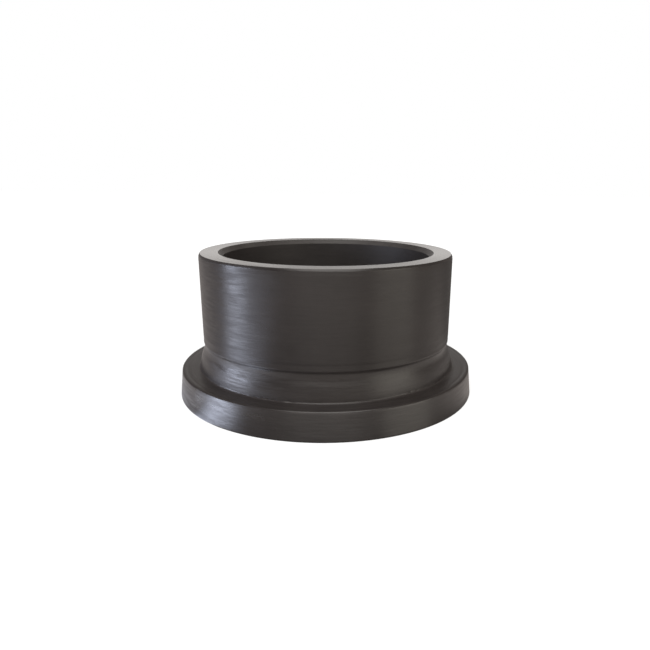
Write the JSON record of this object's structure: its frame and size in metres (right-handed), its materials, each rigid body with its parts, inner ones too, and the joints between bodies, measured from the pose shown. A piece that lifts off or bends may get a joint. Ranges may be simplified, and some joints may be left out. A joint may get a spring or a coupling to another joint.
{
  "type": "lap joint stub end",
  "caption": "Short plastic pipe spigot with a tapered shoulder and a round collar, which a loose backing ring clamps against a gasket.",
  "frame": {"origin": "centre of the gasket face, on the axis of the bore", "axes": "+Z along the bore axis, from the gasket face towards the spigot's cut end"},
  "size_m": [0.2704, 0.2704, 0.126],
  "materials": {
    "black_polyethylene": "turned, satin"
  },
  "bodies": {
    "root": {"stub_end": "black_polyethylene"}
  },
  "joints": []
}
